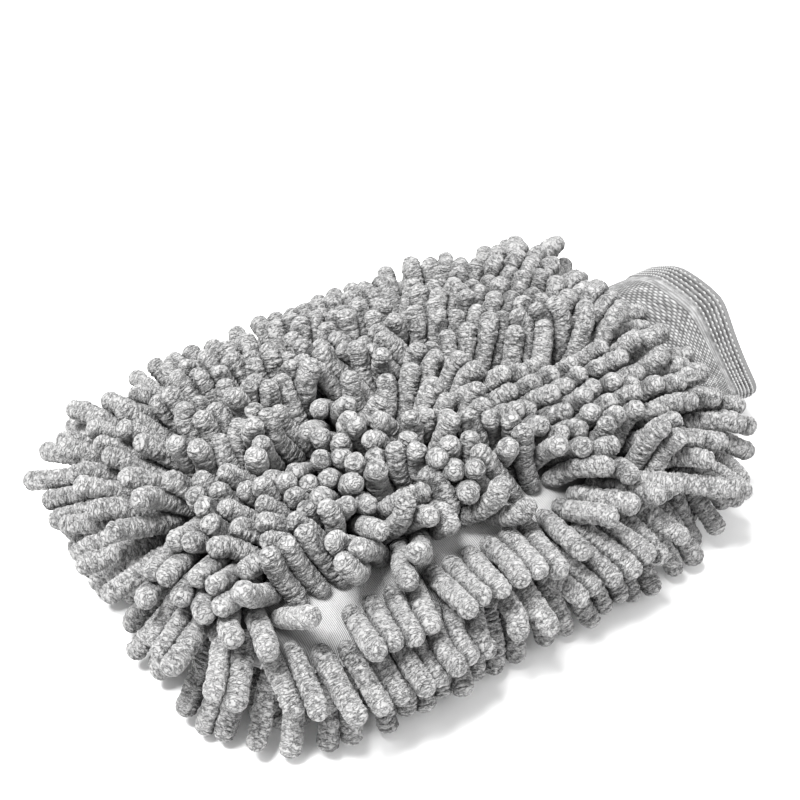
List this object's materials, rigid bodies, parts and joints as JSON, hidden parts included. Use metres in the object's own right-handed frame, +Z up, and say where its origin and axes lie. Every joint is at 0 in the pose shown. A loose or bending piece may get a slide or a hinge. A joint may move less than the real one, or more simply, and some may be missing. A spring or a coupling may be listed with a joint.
{
  "type": "wash mitt",
  "caption": "Flat wash mitt covered on both faces with short chenille strands in rows, with a lined hand pocket and a ribbed elastic cuff.",
  "frame": {"origin": "under the middle of the whole mitt, on the surface it lies on", "axes": "+X runs from the finger end to the cuff, +Y across the mitt, +Z up through the top face"},
  "size_m": [0.242, 0.1678, 0.0639],
  "materials": {
    "chenille_pile": "soft split-fibre chenille",
    "ground_cloth": "fine matt knit",
    "lining": "smooth knit mesh",
    "cuff_knit": "ribbed knit",
    "welt_knit": "doubled ribbed knit",
    "elastic_yarn": "covered elastic yarn",
    "thread": "spun polyester thread"
  },
  "bodies": {
    "pocket": {"top_panel": "ground_cloth", "bottom_panel": "ground_cloth", "top_lining": "lining", "bottom_lining": "lining", "side_seam_thread": "thread", "cuff_seam_thread": "thread", "cuff_root": "cuff_knit", "top_rim_row": "chenille_pile", "top_row_01": "chenille_pile", "top_row_02": "chenille_pile", "top_row_03": "chenille_pile", "top_row_04": "chenille_pile", "top_row_05": "chenille_pile", "top_row_06": "chenille_pile", "top_row_07": "chenille_pile", "top_row_08": "chenille_pile", "top_row_09": "chenille_pile", "top_row_10": "chenille_pile", "top_row_11": "chenille_pile", "top_row_12": "chenille_pile", "top_row_13": "chenille_pile", "top_row_14": "chenille_pile", "top_row_15": "chenille_pile", "top_row_16": "chenille_pile", "bottom_rim_row": "chenille_pile", "bottom_row_01": "chenille_pile", "bottom_row_02": "chenille_pile", "bottom_row_03": "chenille_pile", "bottom_row_04": "chenille_pile", "bottom_row_05": "chenille_pile", "bottom_row_06": "chenille_pile", "bottom_row_07": "chenille_pile", "bottom_row_08": "chenille_pile", "bottom_row_09": "chenille_pile", "bottom_row_10": "chenille_pile", "bottom_row_11": "chenille_pile", "bottom_row_12": "chenille_pile", "bottom_row_13": "chenille_pile", "bottom_row_14": "chenille_pile", "bottom_row_15": "chenille_pile", "bottom_row_16": "chenille_pile"},
    "cuff": {"cuff_sleeve": "cuff_knit", "cuff_welt": "welt_knit", "cuff_elastics": "elastic_yarn"}
  },
  "joints": [
    {"name": "cuff_flex", "type": "hinge", "parent": "pocket", "child": "cuff", "pos_m": [0.087, 0, 0.0287], "axis": [0, 1, 0], "range_deg": [-20, 20], "stiffness_Nm_per_rad": 0.01}
  ]
}
